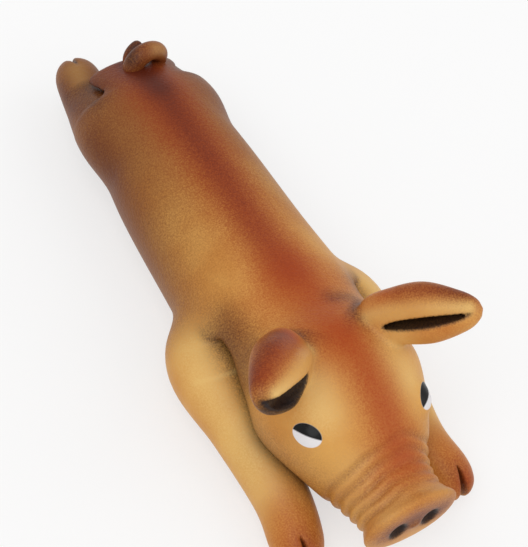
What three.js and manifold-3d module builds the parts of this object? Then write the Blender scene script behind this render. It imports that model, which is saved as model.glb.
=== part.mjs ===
// Squeaky dog toy: a hollow latex piglet lying on its belly, with a reed squeaker in the belly.
// Millimetres, +Z up. The piglet faces -Y, its left side is +X and the floor is z = 0.
// The skin is one moulding, parted here at the creases where it bends: neck, shoulders, hips, ear and
// tail roots, and the oval of the back that a hand presses in.
import * as THREE from 'three';
import { mergeVertices } from 'three/addons/utils/BufferGeometryUtils.js';
import Module from 'manifold-3d';

const wasm = await Module();
wasm.setup();

// Latex skin
const WALL = 2.5; // thickness of the moulding
const GAP = 0.3; // clearance between neighbours
const ROOT_LIP = 3.5; // how far a limb's root reaches in past the wall
const ROUNDNESS = 2.2; // 2 is an ellipse, more is boxier

// Torso, rump to chest: place along the body, width, height of back and belly
const RUMP_END = { y: 101, z: 24 };
const TORSO_STATIONS = [
  { y: 94.5, width: 48, top: 41, bottom: 8 },
  { y: 73, width: 51, top: 48.5, bottom: 1.5 },
  { y: 42, width: 58.5, top: 48.5, bottom: -0.5 },
  { y: 4, width: 62, top: 49.5, bottom: -0.5 },
  { y: -30, width: 64, top: 54.5, bottom: -0.5 },
  { y: -50, width: 55, top: 54.5, bottom: 7 },
  { y: -62, width: 36, top: 49, bottom: 15 },
];
const CHEST_END = { y: -66, z: 32 };

// Oval of the back that is pressed in
const PRESS_CENTRE_Y = 13;
const PRESS_LENGTH = 78;
const PRESS_WIDTH = 38;

// Head, crown to snout, with the wrinkled muzzle and the flared snout disc
const CROWN_END = { y: -34, z: 33 };
const HEAD_STATIONS = [
  { y: -42, width: 44, top: 53, bottom: 14 },
  { y: -58, width: 61, top: 62, bottom: 10 },
  { y: -73, width: 65, top: 61, bottom: 9 },
  { y: -92, width: 51, top: 54, bottom: 12 },
  { y: -106, width: 37, top: 43, bottom: 13.5 },
  { y: -117, width: 33, top: 43.5, bottom: 16.5 },
  { y: -123, width: 34.5, top: 45.5, bottom: 17 },
];
const SNOUT_END = { y: -125, z: 31 };
const WRINKLES = 4;
const WRINKLE_PITCH = 4.8;
const WRINKLE_DEPTH = 1.4;
const WRINKLES_START_Y = -97;
const NOSTRIL = { out: 6.5, z: 31, width: 6, height: 9, depth: 4 };
const EYES = [{ x: 20.3, y: -87.5, z: 44.5 }, { x: -20.4, y: -84.5, z: 46 }]; // centres of the bulges
const EYE_HALF = { x: 5.5, y: 6, z: 5 };
const NECK = { y: -52, z: 31, radius: 25, halfWidth: 27, lift: 12 };

// Ear: a flattened pod, root to tip, with a slot along its front
const EAR_ROOT_END = { x: 12, y: -58, z: 51 };
const EAR_STATIONS = [
  { x: 16, y: -59, z: 55, half: 8.5, up: 6, down: 6 },
  { x: 23, y: -64, z: 62.5, half: 10.2, up: 7.2, down: 7.2 },
  { x: 31, y: -70.5, z: 69, half: 10.8, up: 6.8, down: 6.8 },
  { x: 39, y: -78, z: 73.8, half: 7.6, up: 4.6, down: 4.6 },
];
const EAR_TIP = { x: 43.8, y: -82, z: 76 };
const EAR_TWIST = 43; // the ear's front edge is turned down by this many degrees
const EAR_SLOT = { shift: 6, width: 0.7, height: 0.45, start: 0.7, end: 0.5 };
const EAR_ROLL = { x: 19, y: -61, z: 57, halfLength: 9.5, radius: 6.5, flap: 15 };

// Legs: the left ones, root to toe; the right ones mirror them. A swing outwards is a turn about +Z.
const FORELEG_ROOT_END = { x: 27, y: -16, z: 20 };
const FORELEG_STATIONS = [
  { x: 27.5, y: -20, z: 20, radius: 9 },
  { x: 28.5, y: -34, z: 19.5, radius: 16.7 },
  { x: 31, y: -60, z: 16, radius: 11.2 },
  { x: 29.5, y: -88, z: 11.2, radius: 9.8 },
  { x: 31.5, y: -106, z: 9.8, radius: 9.8 },
  { x: 33.5, y: -113.5, z: 9.5, radius: 7 },
];
const FORELEG_TOE = { x: 33.8, y: -116, z: 9.5 };
const SHOULDER = { x: 28, y: -32, z: 18, radius: 14, swing: 15 };
const HIND_LEG_ROOT_END = { x: 16, y: 58, z: 26 };
const HIND_LEG_STATIONS = [
  { x: 16, y: 61, z: 26, radius: 9 },
  { x: 16, y: 73, z: 26, radius: 14.7 },
  { x: 17, y: 94, z: 22, radius: 10 },
  { x: 14.5, y: 109, z: 20, radius: 9.5 },
  { x: 14.5, y: 117, z: 19.5, radius: 7.5 },
];
const HIND_LEG_TOE = { x: 14.5, y: 120.5, z: 19.5 };
const HIP = { x: 16.5, y: 73, z: 26, radius: 13.5, swing: -15 };
// The left hind leg is drawn up: its stations move by these growing shares of the tuck
const TUCK = { x: 3, y: -8, z: -4 };
const TUCK_SHARES = [0, 0, 0.4, 0.8, 1];
const SOLID_TOE_STATIONS = 2; // the hoof is cast solid from its last stations on
const CLEFT = { length: 10, width: 3 }; // the split of each hoof

// Curled tail on the rump
const TAIL = {
  x: 6, y: RUMP_END.y - 11, z: 40, startRadius: 7, endRadius: 5.1, rootTube: 4.2, tipTube: 2.4,
  startTurn: 0.46, turns: -1.15, backward: 7, wag: 20,
};
const TAIL_BALL_RADIUS = 5.4;

// Squeaker: a flanged barrel pressed into a collar in the belly, reed inside
const SQUEAKER_Y = 22;
const BARREL = { diameter: 16, wall: 1.4, top: 20, floor: 1.4 };
const FLANGE = { diameter: 21, thickness: 1.6, recess: 0.8 };
const BARB = { diameter: 18.4, height: 2.4 };
const COLLAR = { diameter: 27, top: 7 };
const AIR_HOLES = { count: 6, diameter: 1.8, circle: 7.4 };
const BLOCK_HEIGHT = 5;
const SHALLOT = { diameter: 7, length: 9, trough: 3.6, endWall: 1.2 };
const REED = { width: 4.4, thickness: 0.4, overhang: 0.6, pinch: 2.4 };
const WEDGE_THICKNESS = 1.4;

const FACETS = {
  body: 24, hollow: 12, limb: 12, limbHollow: 8, neck: 24, ball: 18, roll: 14, eye: 12, tail: 8, round: 16,
};

// Materials: airbrushed amber latex, white plastic, brass reed
function finish(color, roughness, metalness = 0) {
  return new THREE.MeshStandardMaterial({ color, roughness, metalness });
}
const LATEX = 0xc08a4a;
const LATEX_DARK = 0x8a4a2a;
const PLASTIC = 0xe8e4da;
const BRASS = 0xc9a24a;

// Closed surface through rings of points; a ring of one point closes an end
function skinThrough(rings) {
  const positions = [];
  const starts = [];
  for (const ring of rings) {
    starts.push(positions.length / 3);
    ring.forEach((p) => positions.push(p.x, p.y, p.z));
  }
  const index = [];
  for (let k = 0; k + 1 < rings.length; k += 1) {
    const near = rings[k].length;
    const far = rings[k + 1].length;
    const sides = Math.max(near, far);
    for (let j = 0; j < sides; j += 1) {
      const a = starts[k] + (j % near);
      const b = starts[k] + ((j + 1) % near);
      const c = starts[k + 1] + (j % far);
      const d = starts[k + 1] + ((j + 1) % far);
      if (near > 1) index.push(a, b, d);
      if (far > 1) index.push(a, d, c);
    }
  }
  const geometry = new THREE.BufferGeometry();
  geometry.setAttribute('position', new THREE.Float32BufferAttribute(positions, 3));
  geometry.setIndex(index);
  return facingOut(geometry);
}

// Turns a closed surface inside out where its volume comes out negative
function facingOut(geometry) {
  const p = geometry.attributes.position;
  const index = Array.from(geometry.index.array);
  const [a, b, c] = [new THREE.Vector3(), new THREE.Vector3(), new THREE.Vector3()];
  let volume = 0;
  for (let k = 0; k < index.length; k += 3) {
    a.fromBufferAttribute(p, index[k]);
    b.fromBufferAttribute(p, index[k + 1]);
    c.fromBufferAttribute(p, index[k + 2]);
    volume += a.dot(b.cross(c));
  }
  if (volume < 0) index.reverse();
  geometry.setIndex(index);
  return geometry;
}

// A geometry as a solid to join and cut, and back
function solid(source) {
  const geometry = source.clone();
  geometry.deleteAttribute('normal');
  geometry.deleteAttribute('uv');
  const merged = mergeVertices(geometry, 1e-4);
  return new wasm.Manifold(new wasm.Mesh({
    numProp: 3,
    vertProperties: new Float32Array(merged.attributes.position.array),
    triVerts: new Uint32Array(merged.index.array),
  }));
}

function geometryOf(body) {
  const mesh = body.getMesh();
  const geometry = new THREE.BufferGeometry();
  geometry.setAttribute('position', new THREE.BufferAttribute(new Float32Array(mesh.vertProperties), 3));
  geometry.setIndex(Array.from(mesh.triVerts));
  return geometry;
}

// The main piece that a cut leaves, without its offcuts
function mainPiece(body) {
  const pieces = body.decompose();
  return pieces.reduce((best, piece) => (piece.volume() > best.volume() ? piece : best));
}

function moved(body, matrix) {
  return solid(geometryOf(body).applyMatrix4(matrix));
}

function turned(body, pivot, axis, degrees) {
  const matrix = new THREE.Matrix4().makeTranslation(pivot.x, pivot.y, pivot.z);
  matrix.multiply(new THREE.Matrix4().makeRotationAxis(axis, THREE.MathUtils.degToRad(degrees)));
  matrix.multiply(new THREE.Matrix4().makeTranslation(-pivot.x, -pivot.y, -pivot.z));
  return moved(body, matrix);
}

function mirrored(body) {
  return solid(facingOut(geometryOf(body).applyMatrix4(new THREE.Matrix4().makeScale(-1, 1, 1))));
}

// A soft form that swells and tapers through its stations, with a pole at each end. Stations give the
// centre and the half sizes across, up and down; grow makes every half size larger or smaller.
function swell(ends, stations, options) {
  const { grow = 0, steps = 2 } = options;
  const point = (p) => new THREE.Vector3(p.x ?? 0, p.y, p.z);
  const inner = stations.map(point);
  const pole = (end, next) => point(end).addScaledVector(point(end).sub(next).normalize(), grow);
  const first = pole(ends[0], inner[0]);
  const last = pole(ends[1], inner[inner.length - 1]);
  const size = (s) => new THREE.Vector3(s.half, s.up, s.down).addScalar(grow);
  const zero = new THREE.Vector3();
  const spine = new THREE.CatmullRomCurve3([first, ...inner, last], false, 'catmullrom');
  const girth = new THREE.CatmullRomCurve3([zero, ...stations.map(size), zero], false, 'catmullrom');
  const segments = stations.length + 1;
  const rings = [[first]];
  for (let s = 0; s < segments; s += 1) {
    const count = Array.isArray(steps) ? steps[s] : steps;
    for (let k = s === 0 ? 1 : 0; k < count; k += 1) {
      const t = (s + k / count) / segments;
      rings.push(section(spine, girth, t, options));
    }
  }
  rings.push([last]);
  return skinThrough(rings);
}

function section(spine, girth, t, options) {
  const { upright = false, sides = FACETS.limb, relief = () => 0, twist = 0 } = options;
  const centre = spine.getPoint(t);
  const half = girth.getPoint(t).addScalar(relief(centre));
  const ahead = upright ? new THREE.Vector3(0, 1, 0) : spine.getTangent(t);
  const across = ahead.clone().cross(new THREE.Vector3(0, 0, 1)).normalize();
  across.applyAxisAngle(ahead, THREE.MathUtils.degToRad(twist));
  const above = across.clone().cross(ahead).normalize();
  const ring = [];
  for (let j = 0; j < sides; j += 1) {
    const angle = (2 * Math.PI * j) / sides;
    const [c, s] = [Math.cos(angle), Math.sin(angle)];
    const out = Math.sign(c) * Math.abs(c) ** (2 / ROUNDNESS) * half.x;
    const rise = Math.sign(s) * Math.abs(s) ** (2 / ROUNDNESS) * (s > 0 ? half.y : half.z);
    ring.push(centre.clone().addScaledVector(across, out).addScaledVector(above, rise));
  }
  return ring;
}

function bodyStation({ y, width, top, bottom }) {
  const half = (top - bottom) / 2;
  return { x: 0, y, z: (top + bottom) / 2, half: width / 2, up: half, down: half };
}

function roundStation({ x, y, z, radius }) {
  return { x, y, z, half: radius, up: radius, down: radius };
}

// A ball stretched along its axis: the surface that a bending root turns in
function spindle(centre, axis, halfLength, radius, facets) {
  const geometry = new THREE.SphereGeometry(1, facets, Math.ceil(facets / 2));
  geometry.scale(radius, halfLength, radius);
  const turn = new THREE.Quaternion().setFromUnitVectors(new THREE.Vector3(0, 1, 0), axis);
  geometry.applyQuaternion(turn);
  geometry.translate(centre.x ?? 0, centre.y, centre.z);
  return solid(geometry);
}

function ellipsoid(centre, half) {
  const geometry = new THREE.SphereGeometry(1, FACETS.eye, FACETS.eye / 2);
  geometry.scale(half.x, half.y, half.z);
  geometry.translate(centre.x, centre.y, centre.z);
  return solid(geometry);
}

// An upright cylinder between two heights
function rod(x, y, diameter, bottom, top) {
  const geometry = new THREE.CylinderGeometry(diameter / 2, diameter / 2, top - bottom, FACETS.round);
  geometry.rotateX(Math.PI / 2);
  geometry.translate(x, y, (bottom + top) / 2);
  return solid(geometry);
}

function block(centre, size) {
  const geometry = new THREE.BoxGeometry(size.x, size.y, size.z);
  geometry.translate(centre.x, centre.y, centre.z);
  return solid(geometry);
}

const UP = new THREE.Vector3(0, 0, 1);
const RIGHT_TO_LEFT = new THREE.Vector3(1, 0, 0);
const FAR = 400; // larger than the toy, for trims
const underFloor = block({ x: 0, y: 0, z: -FAR / 2 }, { x: FAR, y: FAR, z: FAR });

// Whole forms, before they are hollowed and parted
function torsoForm(grow) {
  const inside = grow < 0;
  const options = {
    grow, upright: true, sides: inside ? FACETS.hollow : FACETS.body, steps: inside ? 1 : 3,
  };
  return solid(swell([RUMP_END, CHEST_END], TORSO_STATIONS.map(bodyStation), options));
}

function wrinkle({ y }) {
  const along = (WRINKLES_START_Y - y) / WRINKLE_PITCH;
  if (along < 0 || along > WRINKLES) return 0;
  return -WRINKLE_DEPTH * (0.5 - 0.5 * Math.cos(2 * Math.PI * along));
}

const HEAD_STEPS = [2, 3, 3, 3, 9, 8, 2, 2]; // finer along the wrinkled muzzle
function headForm(grow) {
  const options = { grow, upright: true, sides: FACETS.body, steps: HEAD_STEPS, relief: wrinkle };
  return solid(swell([CROWN_END, SNOUT_END], HEAD_STATIONS.map(bodyStation), options));
}

// The head's hollow ends at the snout disc, which is cast solid
function headHollow(inset) {
  const stations = HEAD_STATIONS.map(bodyStation);
  const end = stations.pop();
  const options = { grow: -inset, upright: true, sides: FACETS.hollow, steps: 1 };
  return solid(swell([CROWN_END, end], stations, options));
}

function neckBall(grow) {
  const facets = grow < 0 ? FACETS.hollow : FACETS.neck;
  return spindle(NECK, RIGHT_TO_LEFT, NECK.halfWidth + grow, NECK.radius + grow, facets);
}

function rootBall(joint, grow) {
  const facets = grow < 0 ? FACETS.limbHollow : FACETS.ball;
  return spindle(joint, UP, joint.radius + grow, joint.radius + grow, facets);
}

const tailCurl = (t) => {
  const angle = 2 * Math.PI * (TAIL.startTurn + TAIL.turns * t);
  const radius = THREE.MathUtils.lerp(TAIL.startRadius, TAIL.endRadius, t);
  const x = TAIL.x + radius * Math.cos(angle);
  const z = TAIL.z + radius * Math.sin(angle);
  return new THREE.Vector3(x, TAIL.y + TAIL.backward * t, z);
};
const tailRoot = { ...tailCurl(0), radius: TAIL_BALL_RADIUS, swing: TAIL.wag };

// The ear's hinge runs along its root, forwards and inwards
const earAxis = new THREE.Vector3(-0.77, -1, 0).normalize();
function earRoll(grow) {
  return spindle(EAR_ROLL, earAxis, EAR_ROLL.halfLength + grow, EAR_ROLL.radius + grow, FACETS.roll);
}

const torsoGrown = torsoForm(GAP);
const torsoDeep = torsoForm(-WALL - ROOT_LIP);
const headGrown = headForm(GAP);
const headDeep = headHollow(WALL + ROOT_LIP);

// A limb cut clear of the larger forms at both ends of its bend
function clearOf(body, larger, pivot, axis, angles) {
  return angles.reduce((rest, angle) => rest.subtract(turned(larger, pivot, axis, -angle)), body);
}

// Torso skin: the shell with the roots' sockets, the back's oval, and the squeaker's collar and seat
const tops = TORSO_STATIONS.map((s) => s.top);
const pressBottom = (Math.max(...tops) + Math.min(...TORSO_STATIONS.map((s) => s.bottom))) / 2;

function pressOval(grow) {
  const shape = new THREE.Shape();
  shape.absellipse(0, PRESS_CENTRE_Y, PRESS_WIDTH / 2 + grow, PRESS_LENGTH / 2 + grow, 0, 2 * Math.PI);
  const geometry = new THREE.ExtrudeGeometry(shape, {
    depth: FAR, bevelEnabled: false, curveSegments: FACETS.round / 2,
  });
  geometry.translate(0, 0, pressBottom);
  return solid(geometry);
}

const torsoShell = torsoForm(0).subtract(torsoForm(-WALL));

function makeTorsoSkin() {
  const seatTop = FLANGE.recess + FLANGE.thickness + GAP;
  let skin = torsoShell.subtract(pressOval(GAP));
  skin = skin.add(rod(0, SQUEAKER_Y, COLLAR.diameter, 0, COLLAR.top)).subtract(underFloor);
  skin = skin.subtract(rod(0, SQUEAKER_Y, BARREL.diameter + 2 * GAP, -1, COLLAR.top + 1));
  skin = skin.subtract(rod(0, SQUEAKER_Y, FLANGE.diameter + 2 * GAP, -1, seatTop));
  skin = skin.subtract(neckBall(GAP)).subtract(rootBall(tailRoot, GAP));
  for (const joint of [SHOULDER, HIP]) {
    const socket = rootBall(joint, GAP);
    skin = skin.subtract(socket).subtract(mirrored(socket));
  }
  return mainPiece(skin);
}

function makeBackSkin() {
  return mainPiece(torsoShell.intersect(pressOval(0)));
}

// Head skin: hollow, with eye bulges, nostrils and wrinkles; the neck's ball turns in the torso
function makeHeadSkin() {
  let head = headForm(0);
  for (const eye of EYES) {
    head = head.add(ellipsoid(eye, EYE_HALF));
  }
  head = clearOf(head, torsoGrown, { x: 0, ...NECK }, RIGHT_TO_LEFT, [0, -NECK.lift]).add(neckBall(0));
  head = head.subtract(headHollow(WALL)).subtract(neckBall(-WALL)).subtract(torsoDeep);
  for (const side of [-1, 1]) {
    const half = { x: NOSTRIL.width / 2, y: NOSTRIL.depth, z: NOSTRIL.height / 2 };
    head = head.subtract(ellipsoid({ x: side * NOSTRIL.out, y: SNOUT_END.y, z: NOSTRIL.z }, half));
  }
  const roll = earRoll(GAP);
  return mainPiece(head.subtract(roll).subtract(mirrored(roll)));
}

// Left ear: a pod with a slot along its front, on a roll that turns in the head's skin
function makeEar() {
  const pod = solid(swell([EAR_ROOT_END, EAR_TIP], EAR_STATIONS, { twist: EAR_TWIST }));
  const widest = Math.max(...EAR_STATIONS.map((s) => s.half));
  const point = (p) => new THREE.Vector3(p.x, p.y, p.z);
  const outward = point(EAR_TIP).sub(point(EAR_ROOT_END)).normalize();
  const front = earAxis.clone().applyAxisAngle(outward, THREE.MathUtils.degToRad(EAR_TWIST));
  const forward = (p, distance) => point(p).addScaledVector(front, distance);
  const slotStations = EAR_STATIONS.slice(1).map((s) => {
    const { x, y, z } = forward(s, EAR_SLOT.shift * (s.half / widest));
    const rise = s.up * EAR_SLOT.height;
    return { x, y, z, half: s.half * EAR_SLOT.width, up: rise, down: rise };
  });
  const [root, near] = EAR_STATIONS;
  const far = EAR_STATIONS[EAR_STATIONS.length - 1];
  const slotStart = forward(root, EAR_SLOT.shift).lerp(forward(near, EAR_SLOT.shift), EAR_SLOT.start);
  const slotEnd = forward(far, EAR_SLOT.shift).lerp(forward(EAR_TIP, 0), EAR_SLOT.end);
  const slotOptions = { sides: FACETS.limbHollow, twist: EAR_TWIST };
  const slot = solid(swell([slotStart, slotEnd], slotStations, slotOptions));
  const flap = [-EAR_ROLL.flap, 0, EAR_ROLL.flap];
  const leaf = clearOf(pod, headGrown, EAR_ROLL, earAxis, flap);
  return mainPiece(leaf.add(earRoll(0)).subtract(slot).subtract(headDeep));
}

// Left legs: hollow to the hoof, which is solid and cloven; the root's ball turns in the torso
function cleft(toe) {
  const shape = new THREE.Shape();
  shape.moveTo(toe.x - CLEFT.width / 2, toe.y + Math.sign(toe.y));
  shape.lineTo(toe.x + CLEFT.width / 2, toe.y + Math.sign(toe.y));
  shape.lineTo(toe.x, toe.y - Math.sign(toe.y) * CLEFT.length);
  shape.closePath();
  return solid(new THREE.ExtrudeGeometry(shape, { depth: FAR, bevelEnabled: false }));
}

function tucked({ x, y, z }, share) {
  return { x: x + share * TUCK.x, y: y + share * TUCK.y, z: z + share * TUCK.z };
}

function makeLeg(rootEnd, legStations, toe, joint, neighbours) {
  const stations = legStations.map(roundStation);
  const hollowStations = stations.slice(0, -SOLID_TOE_STATIONS);
  const outer = solid(swell([rootEnd, toe], stations, {}));
  const hollowEnd = stations[hollowStations.length];
  const options = { grow: -WALL, sides: FACETS.limbHollow, steps: 1 };
  const hollow = solid(swell([rootEnd, hollowEnd], hollowStations, options));
  const swing = [0, joint.swing];
  let leg = clearOf(outer, torsoGrown, joint, UP, swing).add(rootBall(joint, 0));
  leg = neighbours.reduce((rest, near) => clearOf(rest, near, joint, UP, swing), leg);
  leg = leg.subtract(hollow).subtract(rootBall(joint, -WALL)).subtract(torsoDeep);
  return mainPiece(leg.subtract(cleft(toe)).subtract(underFloor));
}

// Curled tail: a tapering curl on a ball that turns in the rump
function makeTail() {
  const steps = 20;
  const rings = [];
  for (let k = 0; k <= steps; k += 1) {
    const t = k / steps;
    const centre = tailCurl(t);
    const ahead = tailCurl(t + 0.01).sub(tailCurl(t - 0.01)).normalize();
    const across = ahead.clone().cross(new THREE.Vector3(0, 1, 0)).normalize();
    const above = across.clone().cross(ahead);
    const tube = THREE.MathUtils.lerp(TAIL.rootTube, TAIL.tipTube, t) * Math.sqrt(1 - t ** 12 * 0.9);
    rings.push(Array.from({ length: FACETS.tail }, (_, j) => {
      const angle = (2 * Math.PI * j) / FACETS.tail;
      const out = centre.clone().addScaledVector(across, tube * Math.cos(angle));
      return out.addScaledVector(above, tube * Math.sin(angle));
    }));
  }
  rings.unshift([tailCurl(0)]);
  rings.push([tailCurl(1 + 0.3 / steps)]);
  const curl = clearOf(solid(skinThrough(rings)), torsoGrown, tailRoot, UP, [-TAIL.wag, 0, TAIL.wag]);
  return mainPiece(curl.add(rootBall(tailRoot, 0)).subtract(torsoDeep));
}

// Squeaker barrel: flange, tube, barb above the collar, and a floor with air holes
const barrelRadius = BARREL.diameter / 2;
const boreRadius = barrelRadius - BARREL.wall;
const floorTop = FLANGE.recess + BARREL.floor;

function makeBarrel() {
  const barbBottom = COLLAR.top + GAP;
  const profile = [
    [0, FLANGE.recess], [FLANGE.diameter / 2, FLANGE.recess],
    [FLANGE.diameter / 2, FLANGE.recess + FLANGE.thickness], [barrelRadius, FLANGE.recess + FLANGE.thickness],
    [barrelRadius, barbBottom], [BARB.diameter / 2, barbBottom], [barrelRadius, barbBottom + BARB.height],
    [barrelRadius, BARREL.top], [boreRadius, BARREL.top], [boreRadius, floorTop], [0, floorTop],
  ].map(([radius, height]) => new THREE.Vector2(radius, height));
  const geometry = new THREE.LatheGeometry(profile, FACETS.round);
  geometry.rotateX(Math.PI / 2);
  geometry.translate(0, SQUEAKER_Y, 0);
  let barrel = solid(facingOut(mergeVertices(bare(geometry), 1e-4)));
  for (let k = 0; k < AIR_HOLES.count; k += 1) {
    const angle = (2 * Math.PI * k) / AIR_HOLES.count;
    const x = (AIR_HOLES.circle / 2) * Math.cos(angle);
    const y = SQUEAKER_Y + (AIR_HOLES.circle / 2) * Math.sin(angle);
    barrel = barrel.subtract(rod(x, y, AIR_HOLES.diameter, -1, floorTop + 1));
  }
  return barrel;
}

function bare(geometry) {
  geometry.deleteAttribute('normal');
  geometry.deleteAttribute('uv');
  return geometry;
}

// Reed block: a plug in the barrel's inner end, with the half-round shallot hanging from it
const blockBottom = BARREL.top - BLOCK_HEIGHT;
const shallotBottom = blockBottom - SHALLOT.length;

function makeReedBlock() {
  const plug = rod(0, SQUEAKER_Y, 2 * (boreRadius - GAP), blockBottom, BARREL.top);
  const front = block(
    { x: 0, y: SQUEAKER_Y - SHALLOT.diameter / 2, z: (shallotBottom + blockBottom) / 2 },
    { x: SHALLOT.diameter, y: SHALLOT.diameter, z: SHALLOT.length },
  );
  const shallot = rod(0, SQUEAKER_Y, SHALLOT.diameter, shallotBottom, blockBottom + 1).subtract(front);
  const trough = rod(0, SQUEAKER_Y, SHALLOT.trough, shallotBottom + SHALLOT.endWall, BARREL.top + 1);
  return plug.add(shallot).subtract(trough);
}

// Reed: a tongue over the trough, its root pinched below the plug by the wedge
const reedFace = SQUEAKER_Y - GAP;
const reedTop = blockBottom - GAP;
const reedBottom = shallotBottom - REED.overhang;

function makeReed() {
  const tip = REED.width / 2;
  const shape = new THREE.Shape();
  shape.moveTo(-tip, reedTop);
  shape.lineTo(-tip, reedBottom + tip);
  shape.absarc(0, reedBottom + tip, tip, Math.PI, 2 * Math.PI, false);
  shape.lineTo(tip, reedTop);
  shape.closePath();
  const geometry = new THREE.ExtrudeGeometry(shape, {
    depth: REED.thickness, bevelEnabled: false, curveSegments: FACETS.round / 4,
  });
  geometry.rotateX(Math.PI / 2);
  geometry.translate(0, reedFace, 0);
  return solid(geometry);
}

function makeWedge() {
  const depth = WEDGE_THICKNESS;
  const centre = { x: 0, y: reedFace - REED.thickness - GAP - depth / 2, z: reedTop - REED.pinch / 2 };
  return block(centre, { x: REED.width + 1, y: depth, z: REED.pinch });
}

// The toy
const toy = new THREE.Group();

function place(name, body, material) {
  const mesh = new THREE.Mesh(geometryOf(body), material);
  mesh.name = name;
  toy.add(mesh);
}

const headLifted = [0, NECK.lift].map((lift) => {
  return turned(headGrown, { x: 0, ...NECK }, RIGHT_TO_LEFT, -lift);
});
const headSweep = [neckBall(GAP), ...headLifted];
const foreleg = makeLeg(FORELEG_ROOT_END, FORELEG_STATIONS, FORELEG_TOE, SHOULDER, headSweep);
const hindLeg = makeLeg(HIND_LEG_ROOT_END, HIND_LEG_STATIONS, HIND_LEG_TOE, HIP, []);
const tuckedStations = HIND_LEG_STATIONS.map((station, k) => {
  return { ...station, ...tucked(station, TUCK_SHARES[k]) };
});
const tuckedLeg = makeLeg(HIND_LEG_ROOT_END, tuckedStations, tucked(HIND_LEG_TOE, 1), HIP, []);
const ear = makeEar();

place('torso_skin', makeTorsoSkin(), finish(LATEX, 0.5));
place('back_skin', makeBackSkin(), finish(LATEX_DARK, 0.5));
place('head_skin', makeHeadSkin(), finish(LATEX, 0.5));
place('left_ear', ear, finish(LATEX_DARK, 0.5));
place('right_ear', mirrored(ear), finish(LATEX_DARK, 0.5));
place('left_foreleg', foreleg, finish(LATEX, 0.5));
place('right_foreleg', mirrored(foreleg), finish(LATEX, 0.5));
place('left_hind_leg', tuckedLeg, finish(LATEX, 0.5));
place('right_hind_leg', mirrored(hindLeg), finish(LATEX, 0.5));
place('tail', makeTail(), finish(LATEX_DARK, 0.5));
place('squeaker_barrel', makeBarrel(), finish(PLASTIC, 0.45));
place('reed_block', makeReedBlock(), finish(PLASTIC, 0.45));
place('reed', makeReed(), finish(BRASS, 0.35, 1));
place('reed_wedge', makeWedge(), finish(PLASTIC, 0.45));

export default toy;
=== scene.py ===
"""Looks of the squeaky dog toy: an airbrushed latex piglet lying on its belly.

The skin is modelled as one soft field, in millimetres, in the frame's own axes: the piglet faces -Y, its
left side is +X and the floor is z = 0. Its surface is then parted where the toy bends.
"""

import math

import bpy
import numpy as np
from mathutils import Matrix, Vector


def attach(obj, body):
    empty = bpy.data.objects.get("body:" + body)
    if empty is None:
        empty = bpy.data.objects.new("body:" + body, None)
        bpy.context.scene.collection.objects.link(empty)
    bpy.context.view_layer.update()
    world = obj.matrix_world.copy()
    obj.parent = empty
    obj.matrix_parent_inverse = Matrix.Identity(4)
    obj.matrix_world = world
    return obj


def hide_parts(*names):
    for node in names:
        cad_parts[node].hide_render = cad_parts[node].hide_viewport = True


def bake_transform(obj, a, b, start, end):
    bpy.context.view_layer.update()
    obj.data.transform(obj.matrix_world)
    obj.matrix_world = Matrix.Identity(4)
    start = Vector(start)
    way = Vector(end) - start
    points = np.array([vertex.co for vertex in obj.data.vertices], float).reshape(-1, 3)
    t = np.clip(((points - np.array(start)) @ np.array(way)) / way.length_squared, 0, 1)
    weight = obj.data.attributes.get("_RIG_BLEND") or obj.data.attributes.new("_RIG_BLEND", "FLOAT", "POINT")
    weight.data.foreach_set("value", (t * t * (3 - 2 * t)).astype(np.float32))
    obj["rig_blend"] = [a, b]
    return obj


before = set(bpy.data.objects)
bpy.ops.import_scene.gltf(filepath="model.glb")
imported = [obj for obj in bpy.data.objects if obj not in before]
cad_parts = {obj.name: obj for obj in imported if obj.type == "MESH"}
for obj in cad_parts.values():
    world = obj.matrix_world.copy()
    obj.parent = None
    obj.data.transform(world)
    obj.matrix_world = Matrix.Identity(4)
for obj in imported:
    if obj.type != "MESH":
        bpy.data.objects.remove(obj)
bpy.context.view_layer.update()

MM = 0.001
LEFT, RIGHT = 1, -1
VOXEL = 0.86  # mesh size of the skin, mm
TAIL_VOXEL = 0.5
SKIN_LOW, SKIN_HIGH = (-52, -130, -4 * VOXEL), (52, 126, 86)  # box that the skin's field is worked out in
SKIN_WALL = 2.5
THIN_WALL = 1.0  # ears and tail
LEAST_WALL = 0.15  # share of the wall that is left where a form is thin
ROUNDNESS = 2.2  # of a section: 2 is an ellipse, more is boxier
# Points that are worked out along each curve
STEPS = {"trunk": 600, "ear": 200, "limb": 70, "rim": 14, "slot": 12, "curl": 60, "tail": 90}

# Trunk sections, rump to snout: y, width, top, bottom
RUMP_END, SNOUT_END = (101.5, 24), (-125, 31)
TRUNK = [
    (99.8, 34, 36.5, 12),
    (94.5, 48, 41, 8),
    (73, 51, 48.5, 1.5),
    (42, 58.5, 48.5, -0.5),
    (4, 62, 49.5, -0.5),
    (-28, 64, 53.5, -0.5),
    (-43, 59.5, 56, 3.5),
    (-58, 61, 61.5, 9),
    (-73, 65, 61, 9),
    (-92, 51, 54, 12),
    (-106, 37, 43, 13.5),
    (-117, 33, 43.5, 16.5),
    (-123, 34.5, 45.5, 17),
]

# Muzzle wrinkles: they fade out within shares of their pitch, wander in a wave with a ripple on it, and are
# shallower on the muzzle's ridge
WRINKLES = {"count": 5, "pitch": 4, "depth": 1.1, "start": -98, "fade": (0.2, 0.5)}
WANDER = {"size": 1.1, "wave": 6, "phase": 0.8, "ripple": 0.3, "across": 2.7, "along": 5}
RIDGE = {"x": 3, "half": (2, 12), "depth": 0.35}

# Nostrils and the eyes' bulges
NOSTRIL = {"out": 6.5, "z": 31, "half": (3, 4, 4.5), "fillet": 1.5}
EYES = [(20.3, -87.5, 44.5), (-20.4, -84.5, 46)]
EYE_HALF, EYE_FILLET = (5.5, 6, 5), 3

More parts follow.
